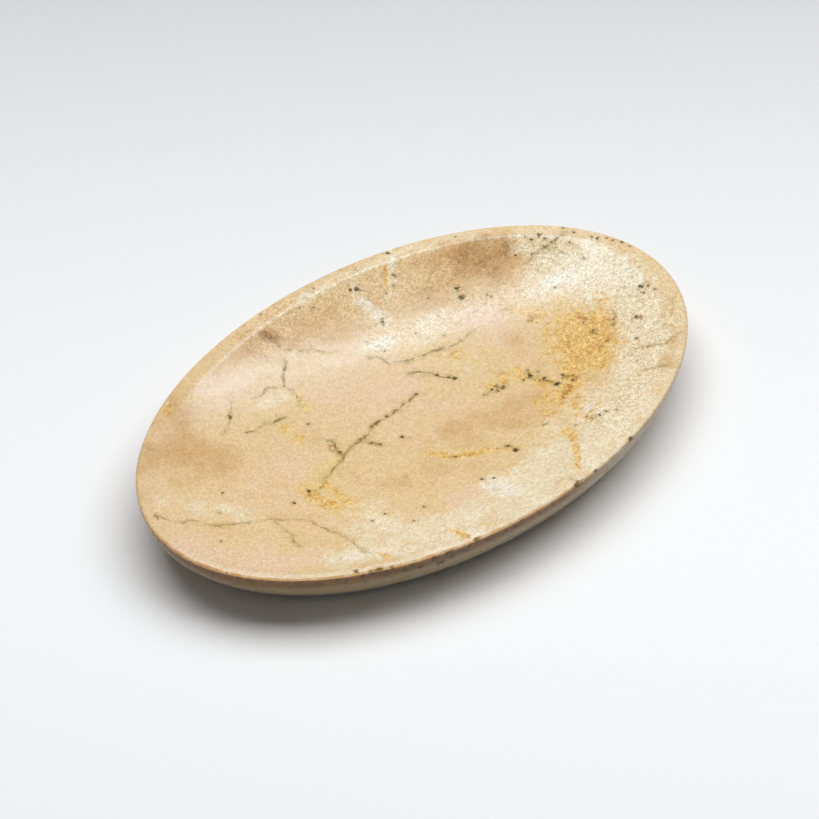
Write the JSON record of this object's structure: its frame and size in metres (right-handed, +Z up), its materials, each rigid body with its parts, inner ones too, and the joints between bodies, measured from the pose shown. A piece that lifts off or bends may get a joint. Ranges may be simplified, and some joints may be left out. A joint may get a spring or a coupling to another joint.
{
  "type": "soap dish",
  "caption": "Shallow oval dish carved from one piece of mottled stone, hollowed on top to hold a bar of soap, standing on small bumper pads.",
  "frame": {"origin": "middle of the surface that the dish stands on, at the underside of the bumper pads", "axes": "+X along the dish's length, +Y across it, +Z up out of the hollow"},
  "size_m": [0.14, 0.087, 0.0135],
  "materials": {
    "stone": "satin",
    "bumper": "matte"
  },
  "bodies": {
    "root": {"dish_body": "stone", "bumper_pad_front_left": "bumper", "bumper_pad_front_right": "bumper", "bumper_pad_rear_left": "bumper", "bumper_pad_rear_right": "bumper"}
  },
  "joints": []
}
